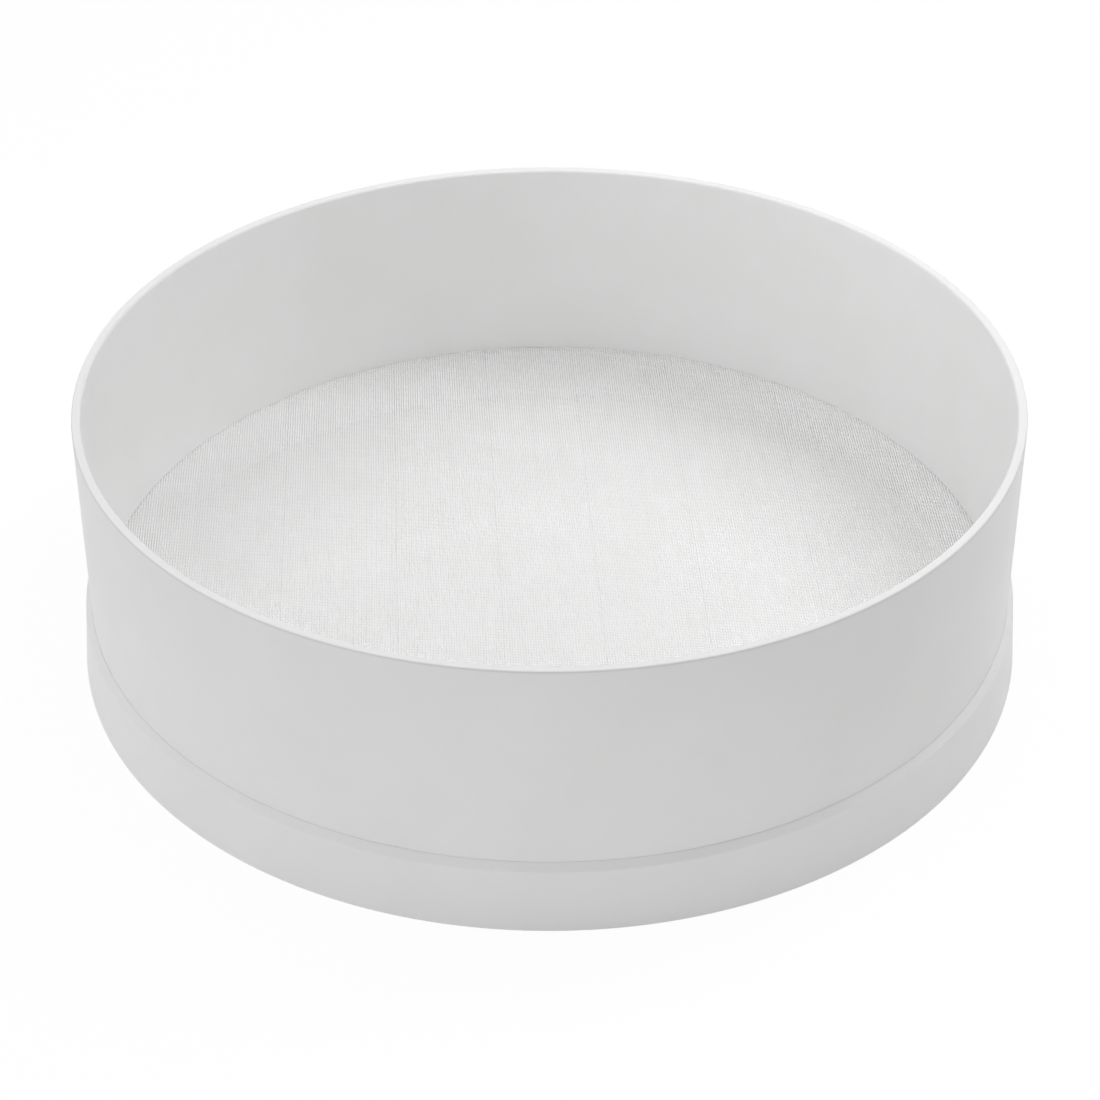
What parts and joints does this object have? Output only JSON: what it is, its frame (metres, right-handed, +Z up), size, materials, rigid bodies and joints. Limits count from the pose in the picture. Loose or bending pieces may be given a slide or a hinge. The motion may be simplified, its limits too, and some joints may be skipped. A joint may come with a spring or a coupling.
{
  "type": "flour sieve",
  "caption": "Drum sieve for flour: a tall plain plastic hoop with a fine nylon screen stretched across it near its foot, held by an inner ring and an outer band.",
  "frame": {"origin": "centre of the foot, on the surface that the sieve stands on", "axes": "+Z up along the hoop's axis, from the foot to the rim; the sieve is round, so X and Y are free"},
  "size_m": [0.3074, 0.3074, 0.092],
  "materials": {
    "hoop_plastic": "satin white moulded plastic",
    "ring_plastic": "satin white moulded plastic",
    "nylon_mesh": "white woven nylon monofilament"
  },
  "bodies": {
    "screen_unit": {"stretcher_ring": "ring_plastic", "mesh_screen": "nylon_mesh", "mesh_skirt": "nylon_mesh"},
    "hoop_unit": {"sieve_hoop": "hoop_plastic", "clamp_band": "hoop_plastic"}
  },
  "joints": [
    {"name": "hoop_lift", "type": "slide", "parent": "screen_unit", "child": "hoop_unit", "axis": [0, 0, 1], "range_m": [0, 0.03]}
  ]
}
